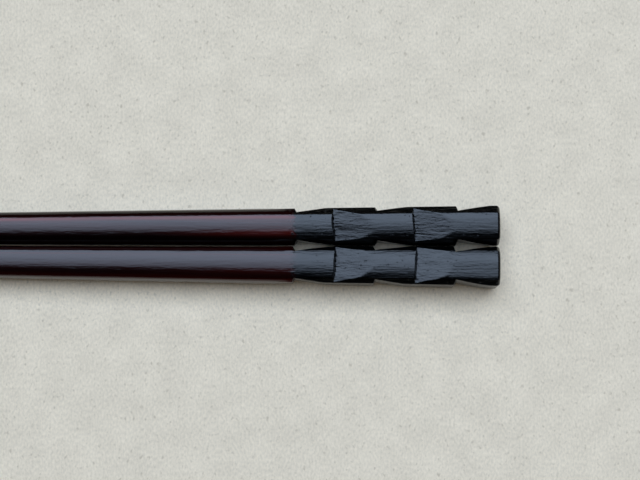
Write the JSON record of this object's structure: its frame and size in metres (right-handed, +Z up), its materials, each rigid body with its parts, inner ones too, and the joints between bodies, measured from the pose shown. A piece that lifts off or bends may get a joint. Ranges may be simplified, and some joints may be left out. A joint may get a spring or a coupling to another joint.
{
  "type": "pair of chopsticks",
  "caption": "Pair of tapered lacquered wooden chopsticks with dark red shafts and black grips carved with staggered notches, laid side by side for eating.",
  "frame": {"origin": "middle of the pair on the surface that it lies on, halfway between the tips and the butts", "axes": "+X from the tips to the carved butts, +Y from the near stick to the far one, +Z up"},
  "size_m": [0.23, 0.0152, 0.0075],
  "materials": {
    "lacquered_wood": "dark red gloss lacquer, black over the carved grip"
  },
  "bodies": {
    "root": {"far_chopstick": "lacquered_wood", "near_chopstick": "lacquered_wood"}
  },
  "joints": []
}
